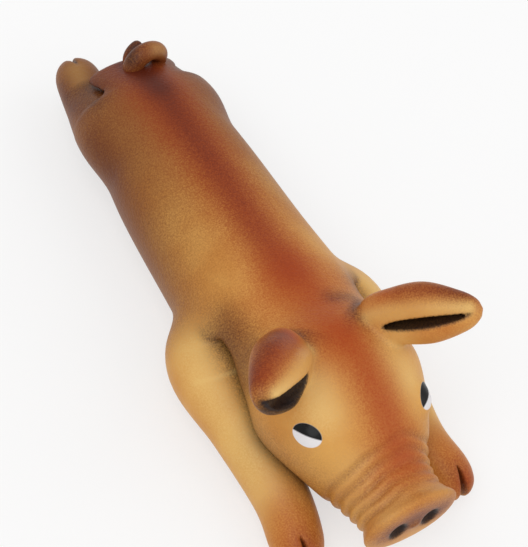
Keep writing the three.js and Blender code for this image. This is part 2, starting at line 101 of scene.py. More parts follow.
# Left legs, root to toe: x, y, z, radius
FORELEG = [
    (27, -16, 20, 1),
    (27.5, -20, 20, 9),
    (28.5, -34, 19.5, 16.7),
    (30.2, -60, 17.5, 12.2),
    (29, -88, 12, 10.4),
    (31.5, -104, 9.8, 9.8),
    (33, -108.5, 9.6, 7.8),
]
HIND_LEG = [
    (16, 58, 26, 1),
    (16, 61, 26, 9),
    (16, 73, 26, 14.7),
    (17, 94, 22, 10),
    (14.5, 109, 20, 9.5),
    (14.5, 112.5, 19.7, 8.3),
]
TUCK = (3, -8, -4)  # the left hind leg is drawn up by growing shares of this
TUCK_SHARES = [0, 0, 0, 0.4, 0.8, 1]
TUCKED_LEG = [
    (x + share * TUCK[0], y + share * TUCK[1], z + share * TUCK[2], radius)
    for (x, y, z, radius), share in zip(HIND_LEG, TUCK_SHARES)
]
# Cleft of a hoof, and how far its painted shade is held back from its edge
CLEFT = {"length": 10, "width": 3, "fillet": 1.2, "shade": 0.8}

# Cuts that the legs bend past: place along the body, and the direction from there to the toes
NECK_CUT = -36  # the head bends in front of this too
HIP_CUT = 86
LEG_CUTS = {"foreleg": (NECK_CUT, -1), "hind_leg": (HIP_CUT, 1)}
LEG_FILLET = 7
CREASE = 5  # length over which a leg's fillet runs out into its slit
SLIT, SLIT_START = 1.5, -2  # gap between a leg and the body past the crease, and their overlap before it
SLIT_FILLET, SLIT_EDGE = 0.4, 4  # rounding of the slit's bottom and of its edge

# Left ear, root to tip: x, y, z, half width, half thickness
EAR = [
    (12, -58, 51, 0.5, 0.5),
    (16, -59, 55, 8.5, 6),
    (23, -64, 62.5, 10.2, 7.2),
    (31, -70.5, 69, 10.8, 6.8),
    (39.2, -77.2, 74.3, 7, 4.6),
    (42.8, -79.6, 76.4, 3.7, 2.7),
    (44, -80.5, 77, 0.5, 0.5),
]
EAR_SIZE = {LEFT: 1, RIGHT: 1.12}  # the right ear is a little fuller
EAR_FILLET = 2.5
EAR_CUT = 15  # along the ear from its root
EAR_TWIST = 0.75  # the front edge is turned down by this, in radians
# Rolled rim along the ear and the slot under it, in shares of the ear's half width and half thickness
EAR_RIM = {LEFT: {"forward": -0.2, "up": 0.72}, RIGHT: {"forward": 0.1, "up": 0.88}}
EAR_RIM_RADIUS, EAR_RIM_FILLET, EAR_RIM_RUN = 0.42, 2, (8, 43)
EAR_SLOT = {
    LEFT: {"run": (11, 43), "forward": 0.1, "up": 0.6, "tilt": 0.8, "length": 0.42, "height": 0.23},
    RIGHT: {"run": (19, 47), "forward": 0.6, "up": 0.66, "tilt": 0.75, "length": 0.5, "height": 0.55},
}
EAR_SLOT_FILLET = 1.5
TAPER_START, TAPER_BLUNTNESS = 0.02, 0.4  # how the rim and the slot run out at their ends

# Curled tail: the curl's centre, its first and last radius and tube, where it starts and how it turns, in
# whole turns, and how far it runs backward
TAIL = {
    "centre": (6, 90.8, 41),
    "radius": (7, 5.1),
    "tube": (4.2, 2.4),
    "start": 0.46,
    "turns": -1.15,
    "backward": 7,
}

# Oval of the back that is pressed in, fading from one share of its half sizes to another
PRESS = {"y": 13, "half_length": 39, "half_width": 19, "bottom": 26, "top": 42, "fade": (1.3, 0.2)}
# The squeaker's seat in the belly
SEAT = {"y": 22, "flange": 10.8, "depth": 2.7, "bore": 9.6, "top": 20.6}

# Past its cut a piece comes to follow its own body: place across and up, and length of the bend
BENDS = {"head_skin": (0, 30, 15), "foreleg": (30, 18, 22), "hind_leg": (16, 22, 16)}
BEND_START, EAR_BEND = 1, 24

NOTHING = 30.0  # a field's value far from a form
LIMB_MARGIN, TAIL_MARGIN = 10, 2  # room round a form in its grid
LEAST_HALF = 0.3  # thinnest section that a field is worked out with


# Curves and fields


def curve(rows, steps):
    """Smooth curve through rows of numbers, at evenly spread steps."""
    rows = np.asarray(rows, float)
    padded = np.vstack([2 * rows[0] - rows[1], rows, 2 * rows[-1] - rows[-2]])
    place = np.linspace(0, len(rows) - 1, steps)
    k = np.minimum(place.astype(int), len(rows) - 2)
    u = (place - k)[:, None]
    a, b, c, d = (padded[k + j] for j in range(4))
    return b + 0.5 * u * (c - a + u * (2 * a - 5 * b + 4 * c - d + u * (3 * (b - c) + d - a)))


def union(a, b, fillet):
    """Joins two fields, with a fillet in the crease between them."""
    h = np.maximum(fillet - np.abs(a - b), 0)
    return np.minimum(a, b) - h * h / (4 * fillet)


def cut(a, b, fillet):
    """Takes field b out of field a, with rounded edges."""
    return -union(-a, b, fillet)


def smoothstep(low, high, value):
    """0 at low, 1 at high, and smooth between them."""
    t = np.clip((value - low) / (high - low), 0, 1)
    return t * t * (3 - 2 * t)


class Grid:
    """A box of evenly spaced points that fields are worked out on."""

    def __init__(self, low, high, step):
        self.low = np.asarray(low, float)
        self.step = step
        counts = np.ceil((np.asarray(high) - self.low) / step - 0.01).astype(int) + 1
        axes = [(self.low[k] + step * np.arange(counts[k])).astype(np.float32) for k in range(3)]
        self.x, self.y, self.z = axes[0][:, None, None], axes[1][None, :, None], axes[2][None, None, :]
        self.shape = tuple(counts)

    def part(self, low, high):
        """The slices and the smaller grid that cover a box."""
        first = np.maximum(np.floor((low - self.low) / self.step).astype(int), 0)
        last = np.minimum(np.ceil((high - self.low) / self.step).astype(int), np.array(self.shape) - 1)
        slices = tuple(slice(a, b + 1) for a, b in zip(first, last))
        return slices, Grid(self.low + first * self.step, self.low + last * self.step, self.step)


def evened(field, step):
    """A field brought nearer to true distance by its own slope."""
    slopes = np.gradient(field, step)
    return field / np.maximum(np.sqrt(sum(s * s for s in slopes)), 1)


def loft(along, across, above, table, step, relief=0):
    """Field of a form with superellipse sections.

    The table's columns are the place along, the centre across, the half width, the top and the bottom.
    """
    table = table[np.argsort(table[:, 0])]
    centre, half, top, bottom = (np.interp(along, table[:, 0], table[:, k]) for k in range(1, 5))
    half = np.maximum(half, LEAST_HALF)
    tall = np.maximum((top - bottom) / 2, LEAST_HALF)
    out = across - centre
    rise = above - (top + bottom) / 2
    far = np.sqrt(out * out + rise * rise)
    rho = ((np.abs(out) / half) ** ROUNDNESS + (np.abs(rise) / tall) ** ROUNDNESS) ** (1 / ROUNDNESS)
    field = far - far / np.maximum(rho, 1e-4) - relief
    field = np.maximum(field, np.maximum(along - table[-1, 0], table[0, 0] - along))
    return evened(field.astype(np.float32), step)


def tube(grid, rows, steps=STEPS["limb"]):
    """A round limb: balls along a curve."""
    field = np.full(grid.shape, NOTHING, np.float32)
    for x, y, z, radius in curve(rows, steps):
        away = np.sqrt((grid.x - x) ** 2 + (grid.y - y) ** 2 + (grid.z - z) ** 2)
        np.minimum(field, away - radius, out=field)
    return field


def ball(grid, place, half):
    """An egg with its half sizes along the axes."""
    x, y, z = ((axis - p) / h for axis, p, h in zip((grid.x, grid.y, grid.z), place, half))
    return (np.sqrt(x * x + y * y + z * z) - 1) * min(half)


def reach(rows, margin, side=LEFT):
    """Box round a limb's rows, widened by its radius and a margin."""
    rows = np.asarray(rows, float) * ([side] + [1] * (len(rows[0]) - 1))
    size = rows[:, 3:].max(1)[:, None] + margin
    return (rows[:, :3] - size).min(0), (rows[:, :3] + size).max(0)


# Surface of a field

CORNERS = [(i, j, k) for i in (0, 1) for j in (0, 1) for k in (0, 1)]
SMOOTH_ROUNDS = 3
LEAST_SLOPE = 0.05  # squared
LONGEST_MOVE = 0.5  # of a grid step


def crossing_points(field, cells):
    """Mean of the places where each cell's edges cross the surface, in grid steps."""
    total = np.zeros((len(cells), 3))
    crossings = np.zeros((len(cells), 1))
    for corner in CORNERS:
        for axis in range(3):
            if corner[axis]:
                continue
            start = cells + corner
            end = start.copy()
            end[:, axis] += 1
            a, b = field[tuple(start.T)], field[tuple(end.T)]
            crossed = (a < 0) != (b < 0)
            place = start.astype(float)
            place[:, axis] += np.where(crossed, a / np.where(crossed, a - b, 1), 0)
            total += place * crossed[:, None]
            crossings += crossed[:, None]
    return total / crossings


def crossing_quads(inside, index):
    """A quad, facing outwards, round each grid edge that crosses the surface."""
    quads = []
    for axis in range(3):
        one, two = (axis + 1) % 3, (axis + 2) % 3
        here = [slice(1, -1)] * 3
        here[axis] = slice(0, -1)
        there = list(here)
        there[axis] = slice(1, None)
        low, high = inside[tuple(here)], inside[tuple(there)]
        offset = np.array([s.start for s in here])
        for entering in (False, True):
            edges = np.argwhere((low != high) & (high == entering)) + offset
            turns = [(0, 0), (0, -1), (-1, -1), (-1, 0)]
            ring = []
            for u, v in turns if entering else turns[::-1]:
                cell = edges.copy()
                cell[:, one] += u
                cell[:, two] += v
                ring.append(index[tuple(cell.T)])
            quads.append(np.stack(ring, 1))
    return np.concatenate(quads)


def surface(field):
    """Quads on the zero surface of a field: points in grid steps, and rows of four corners."""
    inside = field < 0
    count = np.zeros(tuple(n - 1 for n in field.shape), np.int8)
    for i, j, k in CORNERS:
        count += inside[i : i + count.shape[0], j : j + count.shape[1], k : k + count.shape[2]]
    cells = np.argwhere((count > 0) & (count < len(CORNERS)))
    index = np.full(count.shape, -1, np.int64)
    index[tuple(cells.T)] = np.arange(len(cells))
    return crossing_points(field, cells), crossing_quads(inside, index)


def sample(field, places):
    """Values of a field at places in grid steps."""
    base = np.clip(np.floor(places).astype(int), 0, np.array(field.shape) - 2)
    u = places - base
    value = np.zeros(len(places))
    for i, j, k in CORNERS:
        weight = np.abs(1 - i - u[:, 0]) * np.abs(1 - j - u[:, 1]) * np.abs(1 - k - u[:, 2])
        value += weight * field[base[:, 0] + i, base[:, 1] + j, base[:, 2] + k]
    return value


def slope(field, places):
    """Slope of a field, from half a grid step to each side of a place."""
    steps = np.eye(3) * 0.5
    return np.stack([sample(field, places + s) - sample(field, places - s) for s in steps], 1)


def skin_of(field, grid):
    """Smooth quads on a field's surface: points in millimetres, quads and normals."""
    places, quads = surface(field)
    ends = np.concatenate([quads, np.roll(quads, -1, 1)]).reshape(-1)
    others = np.concatenate([np.roll(quads, -1, 1), quads]).reshape(-1)
    degree = np.bincount(ends, minlength=len(places))[:, None]
    for _ in range(SMOOTH_ROUNDS):
        near = np.stack([np.bincount(ends, places[others, k], len(places)) for k in range(3)], 1)
        places = 0.5 * places + 0.5 * near / degree
        gradient = slope(field, places)
        squared = np.maximum((gradient**2).sum(1), LEAST_SLOPE)
        move = -(sample(field, places) / squared)[:, None] * gradient
        places += np.clip(move, -LONGEST_MOVE, LONGEST_MOVE)
    across = np.cross(places[quads[:, 2]] - places[quads[:, 0]], places[quads[:, 3]] - places[quads[:, 1]])
    normals = np.zeros_like(places)
    for corner in range(4):
        for k in range(3):
            normals[:, k] += np.bincount(quads[:, corner], across[:, k], len(places))
    normals /= np.maximum(np.linalg.norm(normals, axis=1), 1e-9)[:, None]
    return grid.low + places * grid.step, quads, normals


# Forms of the skin


def groove(x, y):
    """Depth of the muzzle's wrinkles, 0 to 1."""
    ripple = np.sin(x / WANDER["across"] + y / WANDER["along"])
    wave = np.sin(x / WANDER["wave"] + WANDER["phase"]) + WANDER["ripple"] * ripple
    along = (WRINKLES["start"] - y + WANDER["size"] * wave) / WRINKLES["pitch"]
    last = WRINKLES["count"]
    outside, inside = WRINKLES["fade"]
    within = smoothstep(-outside, inside, along) * smoothstep(last + outside, last - inside, along)
    sides = RIDGE["depth"] + (1 - RIDGE["depth"]) * smoothstep(*RIDGE["half"], np.abs(x - RIDGE["x"]))
    return sides * within * (0.5 - 0.5 * np.cos(2 * np.pi * along))


def trunk_field(grid):
    """Body and head in one, with wrinkles and the eyes' bulges, and the nostrils that are cut from it."""
    rows = [(RUMP_END[0], 0, 0, RUMP_END[1], RUMP_END[1])]
    rows += [(y, 0, width / 2, top, bottom) for y, width, top, bottom in TRUNK]
    rows.append((SNOUT_END[0], 0, 0, SNOUT_END[1], SNOUT_END[1]))
    relief = -WRINKLES["depth"] * groove(grid.x, grid.y)
    field = loft(grid.y, grid.x, grid.z, curve(rows, STEPS["trunk"]), grid.step, relief)
    for place in EYES:
        field = union(field, ball(grid, place, EYE_HALF), EYE_FILLET)
    places = [(side * NOSTRIL["out"], SNOUT_END[0], NOSTRIL["z"]) for side in (LEFT, RIGHT)]
    nostrils = np.minimum(*(ball(grid, place, NOSTRIL["half"]) for place in places))
    return cut(field, nostrils, NOSTRIL["fillet"]), nostrils


def ear_frame():
    """Root, and unit vectors along, forward and up, of the left ear."""
    rows = np.asarray(EAR, float)
    along = rows[-1, :3] - rows[0, :3]
    along /= np.linalg.norm(along)
    forward = np.cross(along, (0, 0, 1))
    forward /= np.linalg.norm(forward)
    forward = forward if forward[1] < 0 else -forward
    up = np.cross(forward, along)
    turn, drop = math.cos(EAR_TWIST), math.sin(EAR_TWIST)
    return rows[0, :3], along, turn * forward - drop * up, turn * up + drop * forward


def ear_table(side):
    """Smooth rows along an ear: place along it, centre forward and up, half width and half thickness."""
    root, along, forward, up = ear_frame()
    rows = np.asarray(EAR, float)
    local = [(rows[:, :3] - root) @ axis for axis in (along, forward, up)]
    return curve(np.stack([*local, *(EAR_SIZE[side] * rows[:, 3:].T)], 1), STEPS["ear"])


def tapered(count):
    """Shares of a size along a form that runs out at both ends."""
    return np.sin(np.pi * np.linspace(TAPER_START, 1 - TAPER_START, count)) ** TAPER_BLUNTNESS


def ear_rim(side):
    """Rolled rim of the left ear, or of the right one before it is mirrored: x, y, z and radius."""
    root, along, forward, up = ear_frame()
    at = np.linspace(*EAR_RIM_RUN, STEPS["rim"])
    table = ear_table(side)
    centre_a, centre_b, wide, thick = (np.interp(at, table[:, 0], column) for column in table.T[1:])
    a, b = centre_a + EAR_RIM[side]["forward"] * wide, centre_b + EAR_RIM[side]["up"] * thick
    line = root + at[:, None] * along + a[:, None] * forward + b[:, None] * up
    return np.column_stack([line, EAR_RIM_RADIUS * thick * tapered(len(at))])


def ear_fields(grid, side):
    """A flattened pod with a rolled rim, and the slot that is cut under the rim."""
    root, along, forward, up = ear_frame()
    s, a, b = (
        (grid.x - root[0]) * axis[0] + (grid.y - root[1]) * axis[1] + (grid.z - root[2]) * axis[2]
        for axis in (along, forward, up)
    )
    table = ear_table(side)
    place, centre_a, centre_b, wide, thick = table.T
    pod = loft(s, a, b, np.stack([place, centre_a, wide, centre_b + thick, centre_b - thick], 1), grid.step)
    leaf = union(pod, tube(grid, ear_rim(side)), EAR_RIM_FILLET)

    shape = EAR_SLOT[side]
    at = np.linspace(*shape["run"], STEPS["slot"])
    centre_a, centre_b, wide, thick = (np.interp(at, place, column) for column in table.T[1:])
    out = a - np.interp(s, at, centre_a + shape["forward"] * wide)
    rise = b - np.interp(s, at, centre_b + shape["up"] * thick)
    turn, lift = math.cos(shape["tilt"]), math.sin(shape["tilt"])
    taper = tapered(len(at))
    length, height = shape["length"] * wide * taper, shape["height"] * thick * taper
    lens = np.column_stack([at, 0 * at, length, height, -height])
    slot = loft(s, out * turn + rise * lift, rise * turn - out * lift, lens, grid.step)
    return cut(leaf, slot, EAR_SLOT_FILLET), slot


def leg_fields(kind, grid, rows, trunk):
    """The trunk, which gives way to the leg, then the cloven leg, its cleft and the fillet at its root."""
    cut_place, toward = LEG_CUTS[kind]
    toe_x, toe_y, _, toe_radius = rows[-1]
    depth = toward * (grid.y - toe_y) - toe_radius + CLEFT["length"]
    wedge = np.abs(grid.x - toe_x) - CLEFT["width"] / 2 * depth / CLEFT["length"]
    wedge = np.maximum(wedge, -depth) + 0 * grid.z
    field = cut(tube(grid, rows), wedge, CLEFT["fillet"])
    run = smoothstep(cut_place - toward * CREASE, cut_place, grid.y)
    gap = SLIT * run + SLIT_START * (1 - run)
    fillet = LEG_FILLET * (1 - run) + SLIT_FILLET * run
    return cut(trunk, field - gap, SLIT_EDGE), field, wedge + CLEFT["shade"], fillet


LIMBS = {
    "left_ear": (LEFT, EAR),
    "right_ear": (RIGHT, EAR),
    "left_foreleg": (LEFT, FORELEG),
    "right_foreleg": (RIGHT, FORELEG),
    "left_hind_leg": (LEFT, TUCKED_LEG),
    "right_hind_leg": (RIGHT, HIND_LEG),
}


def kind_of(limb):
    """A limb's name without its side."""
    return limb.split("_", 1)[1]


def skin_fields(grid):
    """Fields of the whole skin, its trunk, its limbs, and what is carved out of it."""
    trunk, carved = trunk_field(grid)
    limbs, joins = {}, []
    for name, (side, rows) in LIMBS.items():
        slices, near = grid.part(*reach(rows, LIMB_MARGIN, side))
        near.x = side * near.x
        if kind_of(name) == "ear":
            field, tool = ear_fields(near, side)
            fillet = EAR_FILLET
        else:
            trunk[slices], field, tool, fillet = leg_fields(kind_of(name), near, rows, trunk[slices])
        joins.append((slices, field, fillet))
        carved[slices] = np.minimum(carved[slices], tool)
        limbs[name] = np.full(grid.shape, NOTHING, np.float32)
        limbs[name][slices] = field
    whole = trunk.copy()
    for slices, field, fillet in joins:
        whole[slices] = union(whole[slices], field, fillet)
    away = np.sqrt(grid.x**2 + (grid.y - SEAT["y"]) ** 2)
    flange = np.maximum(away - SEAT["flange"], grid.z - SEAT["depth"])
    bore = np.maximum(away - SEAT["bore"], grid.z - SEAT["top"])
    whole = np.maximum(np.maximum(whole, -grid.z), -np.minimum(flange, bore))
    return whole, trunk, limbs, carved


def tail_rows():
    """Rows along the tail's curl: x, y, z and radius."""
    t = np.linspace(0, 1, STEPS["curl"])
    angle = 2 * np.pi * (TAIL["start"] + TAIL["turns"] * t)
    radius, thick = (start + (end - start) * t for start, end in (TAIL["radius"], TAIL["tube"]))
    x, y, z = TAIL["centre"]
    across, up = x + radius * np.cos(angle), z + radius * np.sin(angle)
    return np.stack([across, y + TAIL["backward"] * t, up, thick], 1)


# Pieces of the skin


def piece_names(points, quads, places, trunk, limbs):
    """Name of the piece that each quad belongs to."""
    centre = points[quads].mean(1)
    middle = places[quads].mean(1)
    rest = sample(trunk, middle)
    y = centre[:, 1]
    root, along, _, _ = ear_frame()
    outward = (centre * [LEFT, 1, 1] - root) @ along
    ear = np.maximum(outward, (centre * [RIGHT, 1, 1] - root) @ along)
    past = {"foreleg": y < NECK_CUT, "hind_leg": y > HIP_CUT, "ear": ear > EAR_CUT}
    names = np.where(y < NECK_CUT, "head_skin", "torso_skin").astype("<U16")
    for limb, field in limbs.items():
        near = sample(field, middle) < np.minimum(rest, NOTHING / 2)
        names[past[kind_of(limb)] & near] = limb
    return names


def walls_in(field, places, normals, step, wall):
    """Wall under each point, thinner where the form itself is thin."""
    depth = -sample(field, places - normals * wall / step)
    return wall * np.clip(depth / wall, LEAST_WALL, 1)


def placed(name, data):
    """A new object in the scene."""
    made = bpy.data.objects.new(name, data)
    bpy.context.scene.collection.objects.link(made)
    return made


def shell(name, points, normals, quads, walls, paint):
    """A closed piece: the outer quads, an inner wall and the rim between them."""
    used = np.unique(quads)
    renumber = np.full(len(points), -1)
    renumber[used] = np.arange(len(used))
    outer = renumber[quads]
    count = len(used)
    edges = np.stack([outer, np.roll(outer, -1, 1)], 2).reshape(-1, 2)
    low, high = edges.min(1), edges.max(1)
    _, first, times = np.unique(low * count + high, return_index=True, return_counts=True)
    a, b = edges[first[times == 1]].T
    rim = np.stack([b, a, a + count, b + count], 1)
    corners = np.concatenate([outer, outer[:, ::-1] + count, rim])
    place = np.concatenate([points[used], points[used] - normals[used] * walls[used, None]])
    mesh = bpy.data.meshes.new(name)
    mesh.from_pydata((place * MM).tolist(), [], corners.tolist())
    mesh.shade_smooth()
    mesh.normals_split_custom_set_from_vertices(np.concatenate([normals[used], -normals[used]]))
    rest = mesh.attributes.new("rest", "FLOAT_VECTOR", "POINT")
    rest.data.foreach_set("vector", place.astype(np.float32).ravel())
    for coat, mask in paint.items():
        layer = mesh.attributes.new(coat, "FLOAT", "POINT")
        layer.data.foreach_set("value", np.tile(mask[used], 2).astype(np.float32))
    return placed(name, mesh)


# Airbrushed paints over the latex, each over the one before it; some of their strokes and coats are painted
# shade and painted highlights
LATEX, LATEX_SHADE = "DBA152", "CE8E42"
PAINTS = {"brown": "6E3818", "pale": "EBC47A", "rust": "A53F10", "umber": "4E1C0F", "black_and_shade": "1A1010"}

# Strokes: paint, strength, width in mm, line
SPINE = [(0.5, 96, 40), (0.5, 78, 47.5), (1.6, 54, 49), (3, 24, 49), (2.5, -7, 50.6), (2.6, -27, 53.3)]
FOLD = [  # across the near foreleg
    (-42, -42, 28.7),
    (-38.8, -44.4, 31.5),
    (-34.5, -45.9, 33.5),
    (-30.2, -46.6, 34.3),
    (-27.8, -46.7, 34.2),
]
STROKES = [
    ("pale", (0.3, 0.8), 0.9, FOLD),
    ("rust", 0.9, 12, SPINE),
    ("umber", (0.95, 0.15), 8.5, SPINE),
    ("umber", 0.7, 6, [(-0.5, 87, 44.5), (0.7, 81, 46.5), (1.5, 73, 48.5)]),  # before the tail: spine paint and painted shadow of the tail
    ("rust", 0.75, 13, [(2.6, -27, 53), (3, -45, 57), (0, -60, 62)]),  # nape
    ("rust", 0.4, 13, [(-12, -38, 54), (-8, -50, 58), (20, -40, 50)]),
    ("rust", 0.75, 9, [(3, -62, 62), (3, -79, 59), (3, -96, 51), (5, -104, 43)]),  # forehead
    ("rust", 0.3, 13, [(2, -80, 59), (0, -98, 50), (0, -112, 42)]),
    ("umber", 0.5, 4, [(10, -44, 56), (18.5, -46.5, 52.5), (17, -52, 58)]),  # behind the left ear: painted shade, partly umber paint
    ("umber", 0.45, 7, [(-25, -31, 45), (-24, -38, 46.5), (-24, -48, 48.5)]),  # right of the neck: painted shade
    ("pale", 0.5, 8, [(-11, -102, 43), (-11, -112, 38)]),  # right of the muzzle: painted highlight on the side where the light falls
    ("pale", 0.2, 5, [(-17, 103, 30), (-16, 109, 28)]),  # right hind hoof
    ("brown", (0.6, 0.35), 13, [(-30, 50, 30), (-31, 10, 30), (-30, -22, 36)]),  # right flank: painted shade with brown paint
]
PAIRED_STROKES = [  # on both sides
    ("umber", 0.6, 8, [(27, -38, 41), (28, -47, 41), (29, -54, 41)]),  # neck: painted shade in the crease by the shoulders
    ("pale", 0.7, 9, [(16, -74, 58), (17, -82, 54)]),  # brows
    ("brown", 0.6, 15, [(30, 60, 20), (31, 20, 20), (33, -10, 18)]),  # low on the flanks: brown paint and painted shade
    ("brown", (0.6, 0.25), 12, [(29, -74, 30), (23, -96, 30), (18, -108, 24)]),  # cheeks: brown paint and painted shade low on them
    ("pale", 0.6, 9, [(37, -33, 34), (38.5, -44, 31), (36, -64, 25), (36, -86, 19)]),  # forelegs' outer sides: lighter paint and a painted highlight
    ("rust", (0.4, 0.9), 10, [(32, -95, 19), (34, -112, 15)]),  # fore hooves
    ("umber", 0.3, 6, [(32, -110, 17), (34, -115, 12)]),
    ("rust", 0.4, 10, [(0, -108, 42), (8, -108, 40)]),  # muzzle and snout
    ("rust", 0.5, 10, [(0, -126, 38), (10, -126, 34)]),
    ("umber", 0.85, 7, [(0, -127, 36), (9, -127, 33)]),
    ("pale", 0.5, 4, [(4, -118, 44), (12, -120, 42)]),
    ("umber", 0.6, 5, [(25, 106, 24), (26, 92, 27), (24, 84, 32)]),  # hind legs and rump
    # umber on the haunches, partly painted shade
    ("umber", 0.4, 8, [(28, 68, 34), (28, 54, 31)]),
    # umber round the tail's root: paint and painted shadow of the tail
    ("umber", 0.35, 12, [(0, 92, 44), (10, 96, 36)]),
]
EAR_STROKES = {
    LEFT: [
        ("umber", (0.3, 0.7), 5, [(24, -60, 73), (33, -67, 78), (40, -74, 79)]),
        ("rust", 0.8, 7, [(20, -57, 70), (33, -68, 78), (41, -76, 79)]),
        ("rust", 0.3, 6, [(26, -78, 68), (33, -80, 72)]),
    ],
    RIGHT: [
        ("umber", 0.6, 6, [(-24, -59, 72), (-32, -64, 77), (-42, -73, 77)]),
        ("rust", 0.95, 9, [(-20, -59, 69), (-31, -66, 77), (-40, -73, 79)]),
        # black under the right ear's rim: paint and painted shade of the ear's underside
        ("black_and_shade", 0.95, 4.5, [(-30, -80, 66), (-37.5, -82, 71), (-42, -82.5, 74.5)]),
    ],
}
# pale along the ears' rolled rims: pale paint and a painted highlight
RIM_PALE_AND_HIGHLIGHT = ("pale", 0.95, 3)
TAIL_MIDDLE = [(6, 92, 42), (6, 94, 42)]
TAIL_STROKES = [
    ("brown", 0.9, 30, TAIL_MIDDLE),
    ("rust", 0.35, 30, TAIL_MIDDLE),
    ("umber", 0.3, 30, TAIL_MIDDLE),
    ("pale", 0.5, 3.5, [(9, 90, 50), (12.5, 90, 48)]),
    ("black_and_shade", 0.7, 5, [(-2, 91, 48), (3, 97.5, 46.5)]),
]

# Coats that follow the form: brown over the rear, umber along the wrinkles' grooves, painted shade beside
# and in the creases round limbs, and painted shade in carved hollows
REAR_COAT = {"share": 0.85, "y": (-45, 75)}
WRINKLE_COAT = {"share": 0.25, "z": (20, 34)}
CREASE_SHADE_UMBER = {"share": 0.8, "off": (0.2, 1.5), "width": 6}
CREASE_SHADE_BLACK = {"share": 0.75, "width": 2}
HOLLOW_SHADE = {"share": 0.95, "off": (1.4, 0.1)}
# painted shade round the ears' roots, darker behind them
EAR_CREASE = {"least": 0.08, "more": 0.5, "y": (-68, -54)}
LEG_CREASE = (14, 4)  # a leg's painted crease shade starts this far before its cut and is full this far past it


def over(layers, paint, mask):
    """Adds a mask to a paint that is already there."""
    layers[paint] = 1 - (1 - layers[paint]) * (1 - mask)


def sprayed(points, strokes, layers=None):
    """Mask of each paint after soft strokes along lines; two strengths are those of a stroke's ends."""
    layers = {paint: np.zeros(len(points)) for paint in PAINTS} if layers is None else layers
    for paint, strength, width, line in strokes:
        line = np.asarray(line, float)
        ends = strength if isinstance(strength, tuple) else (strength, strength)
        strengths = np.linspace(*ends, len(line))
        mask = np.zeros(len(points))
        for k in range(len(line) - 1):
            run = line[k + 1] - line[k]
            t = np.clip((points - line[k]) @ run / max(run @ run, 1e-9), 0, 1)
            away = np.linalg.norm(points - line[k] - t[:, None] * run, axis=1)
            here = strengths[k] + (strengths[k + 1] - strengths[k]) * t
            np.maximum(mask, here * np.exp(-((away / width) ** 2)), out=mask)
        over(layers, paint, mask)
    return layers


def crease_shade(kind, y):
    """Share of painted shade in the crease round a kind of limb."""
    if kind == "ear":
        return EAR_CREASE["least"] + EAR_CREASE["more"] * smoothstep(*EAR_CREASE["y"], y)
    cut_place, toward = LEG_CUTS[kind]
    before, past = LEG_CREASE
    return smoothstep(cut_place - toward * before, cut_place + toward * past, y)


def skin_paint(points, places, trunk, limbs, carved):
    """Paint masks of the skin's points, painted shade in creases and hollows and painted highlights among
    them.
    """
    x, y, z = points.T
    paint = sprayed(points, STROKES)
    sprayed(np.abs(points * [1, 0, 0]) + points * [0, 1, 1], PAIRED_STROKES, paint)
    over(paint, "brown", REAR_COAT["share"] * smoothstep(*REAR_COAT["y"], y))
    over(paint, "umber", WRINKLE_COAT["share"] * groove(x, y) * smoothstep(*WRINKLE_COAT["z"], z))
    for side in (LEFT, RIGHT):
        sprayed(points, EAR_STROKES[side], paint)
        # the rims' pale paint and painted highlight, which clears the paint under it
        rim = sprayed(points, [(*RIM_PALE_AND_HIGHLIGHT, ear_rim(side)[:, :3] * [side, 1, 1])])
        for layer in PAINTS:
            paint[layer] *= 1 - rim["pale"]
        over(paint, "pale", rim["pale"])
    rest = sample(trunk, places)
    # painted shade beside and in each limb's crease
    for limb, field in limbs.items():
        off = sample(field, places)
        share = crease_shade(kind_of(limb), y)
        beside = smoothstep(*CREASE_SHADE_UMBER["off"], off) * np.exp(-((off / CREASE_SHADE_UMBER["width"]) ** 2))
        over(paint, "umber", CREASE_SHADE_UMBER["share"] * share * beside)
        within = np.exp(-((np.maximum(rest, off) / CREASE_SHADE_BLACK["width"]) ** 2))
        over(paint, "black_and_shade", CREASE_SHADE_BLACK["share"] * share * within)
    # painted shade in the carved hollows: ear slots, nostrils and hoof clefts
    over(paint, "black_and_shade", HOLLOW_SHADE["share"] * smoothstep(*HOLLOW_SHADE["off"], sample(carved, places)))
    return paint


# Materials

# Noises: the latex's grain, the airbrush's stipple and the base coat's clouds, which are laid out in mm
GRAIN = {"Scale": 0.75, "Detail": 2.0}
STIPPLE = {"Scale": 1.7, "Detail": 1.0}
CLOUDS = {"Scale": 0.06, "Detail": 3.0}
CLOUD_RANGE = (0.35, 0.65)
STIPPLE_SPREAD = 3.0  # how far the stipple breaks up the half covered edge of a stroke
SATIN, GLOSS = 0.42, 0.25  # roughness of the skin and of the eyes
SKIN_SPECULAR = 0.18
GRAIN_BUMP = {"Strength": 0.35, "Distance": 0.0006}

# Painted eyes: centre, then half axes along and down the lids, in mm; the upper part is black
EYE_PAINT = {
    LEFT: ((23.4, -89.5, 47.6), (-3.3, -3.6, 1.9), (0.6, -3.35, -2.55)),
    RIGHT: ((-24.6, -86.1, 49.2), (3.3, -3.6, 1.9), (-0.6, -3.35, -2.55)),
}
EYE_WHITE, EYE_BLACK = "E6E3E4", "0C0A0B"
EYE_DEPTH = 10  # the paint reaches this far in from the eye's surface
EYE_SLANT = 0.34  # how far the black comes down from one end of the lids to the other
EYE_EDGE, BLACK_EDGE = (1.06, 0.94), (0.04, -0.08)  # soft edges of the eye and of its black part

# Grain of the squeaker's pieces, laid out in metres, and how dark it makes them
MOULDED = {"Scale": 900.0, "Detail": 2.0}
MOULDED_SHADE = 0.85


def node(tree, kind, inputs=None, **settings):
    """A new shader node, with values or links for its inputs."""
    made = tree.nodes.new(kind)
    for key, value in settings.items():
        setattr(made, key, value)
    for key, value in (inputs or {}).items():
        if isinstance(value, bpy.types.NodeSocket):
            tree.links.new(value, made.inputs[key])
        else:
            made.inputs[key].default_value = value
    return made


